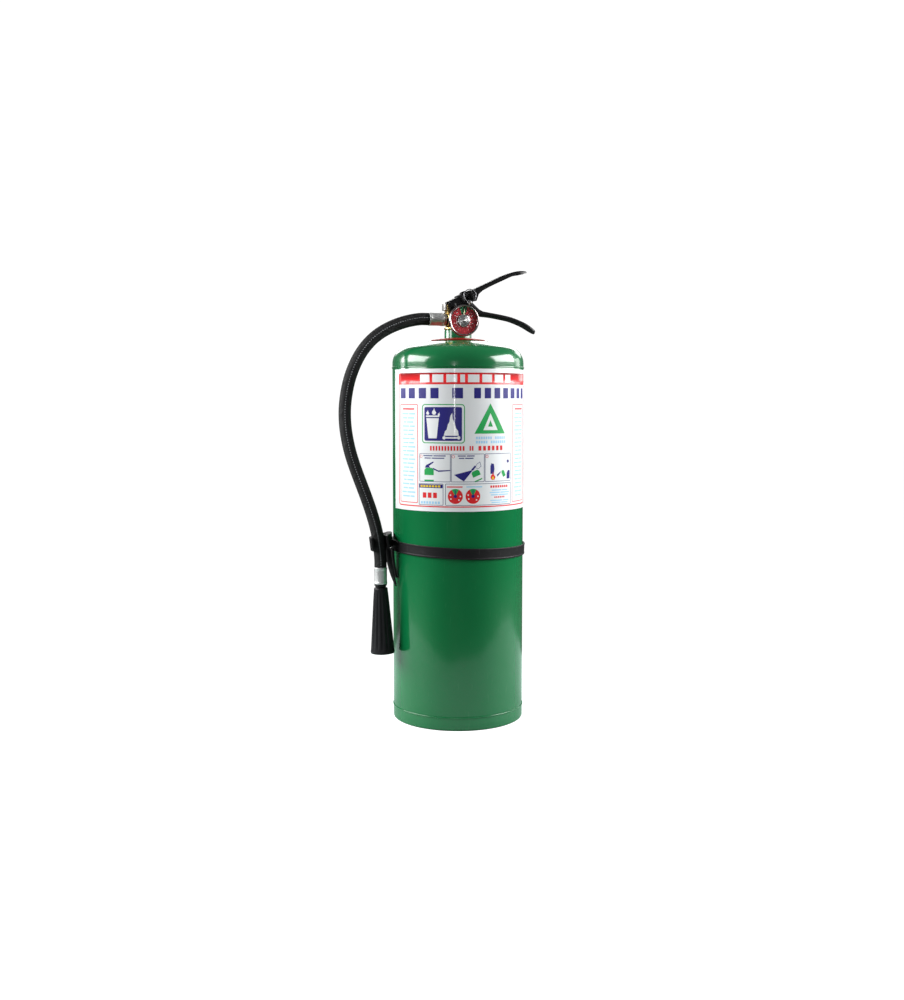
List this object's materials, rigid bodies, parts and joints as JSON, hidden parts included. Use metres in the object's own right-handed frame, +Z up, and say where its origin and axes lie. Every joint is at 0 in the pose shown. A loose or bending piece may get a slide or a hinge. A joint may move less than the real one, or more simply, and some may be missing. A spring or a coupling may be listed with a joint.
{
  "type": "fire extinguisher",
  "caption": "Upright stored-pressure water extinguisher: cylindrical steel tank with domed top, squeeze valve and levers, pressure gauge, side hose clipped to a strap, and flared nozzle.",
  "frame": {"origin": "on the tank's axis at floor level, under the middle of the extinguisher", "axes": "+Z up along the tank, +X towards the levers' tips, -Y towards the side that the gauge faces"},
  "size_m": [0.277, 0.1834, 0.6112],
  "materials": {
    "tank_paint": "gloss green enamel over steel",
    "collar_plastic": "thin red plastic, semi-gloss",
    "label_paper": "white vinyl label, glossy",
    "valve_brass": "machined, bright",
    "nickel_plate": "nickel plated",
    "ferrule_metal": "turned, bright",
    "plain_steel": "zinc plated",
    "gauge_metal": "bright plated",
    "gauge_glass": "clear",
    "dial_print": "red printed dial with a green wedge",
    "needle_enamel": "pale yellow enamel",
    "lever_paint": "black powder coat",
    "black_plastic": "moulded black plastic",
    "nozzle_plastic": "moulded black plastic, satin",
    "hose_rubber": "wrapped black rubber",
    "strap_rubber": "smooth black rubber",
    "seal_rubber": "moulded nitrile"
  },
  "bodies": {
    "tank": {"tank_shell": "tank_paint", "tank_dome": "tank_paint", "top_weld_bead": "tank_paint", "base_weld_bead": "tank_paint", "foot_ring": "tank_paint", "bottom_head": "tank_paint", "neck_collar": "tank_paint", "neck_weld": "tank_paint", "neck_o_ring": "seal_rubber", "service_collar": "collar_plastic", "label_sheet": "label_paper", "valve_body": "valve_brass", "stem_o_ring": "seal_rubber", "stem_spring": "plain_steel", "siphon_nut": "valve_brass", "siphon_tube": "black_plastic", "carry_handle": "lever_paint", "lever_pivot_pin": "plain_steel", "handle_rivet": "plain_steel", "gauge_stem": "valve_brass", "gauge_case": "gauge_metal", "gauge_bezel": "gauge_metal", "gauge_lens": "gauge_glass", "gauge_dial": "dial_print", "bourdon_tube": "valve_brass", "gauge_spindle": "valve_brass", "coupling_gasket": "seal_rubber", "strap_band": "strap_rubber", "strap_keeper": "black_plastic", "strap_tail_outer": "strap_rubber", "strap_tail_inner": "strap_rubber", "hose_clip": "black_plastic"},
    "lever": {"operating_lever": "lever_paint", "tamper_seal": "black_plastic"},
    "stem": {"valve_stem": "plain_steel", "seat_washer": "seal_rubber"},
    "pin": {"pull_pin": "plain_steel"},
    "pin_ring": {"pull_ring": "plain_steel"},
    "needle": {"gauge_needle": "needle_enamel", "needle_hub": "gauge_metal"},
    "hose_line": {"hose_coupling": "nickel_plate", "upper_ferrule": "ferrule_metal", "hose": "hose_rubber", "lower_ferrule": "ferrule_metal", "nozzle_adapter": "black_plastic", "nozzle_orifice": "valve_brass", "nozzle": "nozzle_plastic"}
  },
  "joints": [
    {"name": "lever_squeeze", "type": "hinge", "parent": "tank", "child": "lever", "pos_m": [-0.01, 0, 0.562], "axis": [0, 1, 0], "range_deg": [0, 15], "stiffness_Nm_per_rad": 0.6, "springref_deg": -14.32},
    {"name": "stem_travel", "type": "slide", "parent": "tank", "child": "stem", "axis": [0, 0, -1], "range_m": [0, 0.0032], "deforming": ["stem_spring"]},
    {"name": "pin_pull", "type": "slide", "parent": "tank", "child": "pin", "axis": [0, -1, 0], "range_m": [0, 0.045]},
    {"name": "ring_swing", "type": "hinge", "parent": "pin", "child": "pin_ring", "pos_m": [0.012, -0.0155, 0.5665], "axis": [1, 0, 0], "range_deg": [0, 100]},
    {"name": "gauge_needle_turn", "type": "hinge", "parent": "tank", "child": "needle", "pos_m": [0, -0.0245, 0.541], "axis": [0, 1, 0], "range_deg": [-110, 110], "stiffness_Nm_per_rad": 0.0002},
    {"name": "hose_swing", "type": "hinge", "parent": "tank", "child": "hose_line", "pos_m": [-0.02, 0, 0.5437], "axis": [-1, 0, 0], "range_deg": [0, 75]}
  ],
  "couplings": [
    {"joint": "stem_travel", "follows": "lever_squeeze", "m_per_rad": 0.012}
  ]
}
